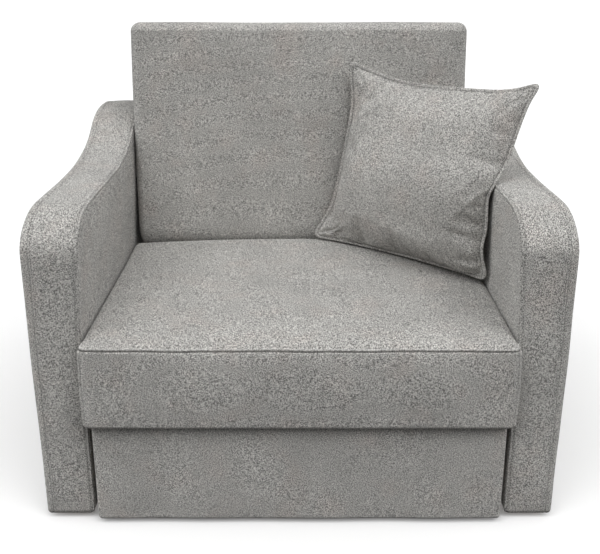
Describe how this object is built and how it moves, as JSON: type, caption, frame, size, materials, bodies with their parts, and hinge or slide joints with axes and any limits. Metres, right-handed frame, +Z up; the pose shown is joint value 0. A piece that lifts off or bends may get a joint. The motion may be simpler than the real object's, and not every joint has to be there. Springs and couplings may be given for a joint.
{
  "type": "convertible chair bed",
  "caption": "Upholstered armchair with low swept arms, thick seat, tall back and a loose square pillow; seat and back unfold into a single bed.",
  "frame": {"origin": "on the floor, in the middle of the folded chair's width and depth", "axes": "+X to the right of someone facing the chair, +Y to the rear, +Z up"},
  "size_m": [1, 1.0229, 0.9067],
  "materials": {
    "grey_cloth": "matte",
    "foam": "matte",
    "plywood": "matte",
    "pine": "matte",
    "birch": "satin",
    "black_plastic": "matte",
    "wheel_rubber": "matte",
    "zinc_steel": "satin",
    "painted_steel": "satin"
  },
  "bodies": {
    "backrest_section": {"apex_pins": "zinc_steel", "apex_rollers": "black_plastic", "backrest_apex_plates": "painted_steel", "backrest_cover": "grey_cloth", "backrest_foam": "foam", "backrest_frame_tubes": "painted_steel", "backrest_hinge_plates": "painted_steel", "backrest_slat_holders": "black_plastic", "backrest_slats": "birch"},
    "base": {"arm_battens_left": "pine", "arm_battens_right": "pine", "arm_bolts": "zinc_steel", "arm_cover_left": "grey_cloth", "arm_cover_right": "grey_cloth", "arm_panels_left": "plywood", "arm_panels_right": "plywood", "floor_glides": "black_plastic", "rear_crossbars": "painted_steel", "rear_pivot_brackets": "painted_steel", "rear_pivot_pins": "zinc_steel", "side_frame_tubes_left": "painted_steel", "side_frame_tubes_right": "painted_steel"},
    "seat_section": {"front_panel_board": "plywood", "front_panel_cleats": "pine", "front_panel_cover": "grey_cloth", "front_panel_screws": "zinc_steel", "seat_cover": "grey_cloth", "seat_foam": "foam", "seat_frame_tubes": "painted_steel", "seat_hinge_plates": "painted_steel", "seat_leg_stretchers": "painted_steel", "seat_legs": "painted_steel", "seat_pivot_pins": "zinc_steel", "seat_slat_holders": "black_plastic", "seat_slats": "birch", "wheel_axles": "zinc_steel", "wheel_forks": "painted_steel"},
    "pillow": {"pillow": "grey_cloth"},
    "rear_section": {"rear_apex_plates": "painted_steel", "rear_frame_tubes": "painted_steel", "rear_mattress_cover": "grey_cloth", "rear_mattress_foam": "foam", "rear_pivot_plates": "painted_steel", "rear_slat_holders": "black_plastic", "rear_slats": "birch"},
    "wheel_front_left": {"wheel_front_left": "wheel_rubber"},
    "wheel_front_right": {"wheel_front_right": "wheel_rubber"},
    "wheel_rear_left": {"wheel_rear_left": "wheel_rubber"},
    "wheel_rear_right": {"wheel_rear_right": "wheel_rubber"}
  },
  "joints": [
    {"name": "rear_fold", "type": "hinge", "parent": "base", "child": "rear_section", "pos_m": [0, 0.47456, 0.361], "axis": [1, 0, 0], "range_deg": [0, 85]},
    {"name": "back_fold", "type": "hinge", "parent": "rear_section", "child": "backrest_section", "pos_m": [0, 0.30752, 0.87841], "axis": [1, 0, 0], "range_deg": [-170, 0]},
    {"name": "seat_fold", "type": "hinge", "parent": "backrest_section", "child": "seat_section", "pos_m": [0, 0.14049, 0.361], "axis": [1, 0, 0], "range_deg": [0, 85]},
    {"name": "pillow_lift", "type": "slide", "parent": "seat_section", "child": "pillow", "axis": [0, 0, 1], "range_m": [0, 0.45]},
    {"name": "wheel_front_left_spin", "type": "hinge", "parent": "seat_section", "child": "wheel_front_left", "pos_m": [0, -0.42601, 0.025], "axis": [1, 0, 0], "continuous": true},
    {"name": "wheel_front_right_spin", "type": "hinge", "parent": "seat_section", "child": "wheel_front_right", "pos_m": [0, -0.42601, 0.025], "axis": [1, 0, 0], "continuous": true},
    {"name": "wheel_rear_left_spin", "type": "hinge", "parent": "seat_section", "child": "wheel_rear_left", "pos_m": [0, 0.10149, 0.025], "axis": [1, 0, 0], "continuous": true},
    {"name": "wheel_rear_right_spin", "type": "hinge", "parent": "seat_section", "child": "wheel_rear_right", "pos_m": [0, 0.10149, 0.025], "axis": [1, 0, 0], "continuous": true}
  ],
  "couplings": [
    {"joint": "back_fold", "follows": "rear_fold", "ratio": -2},
    {"joint": "seat_fold", "follows": "rear_fold", "ratio": 1}
  ]
}
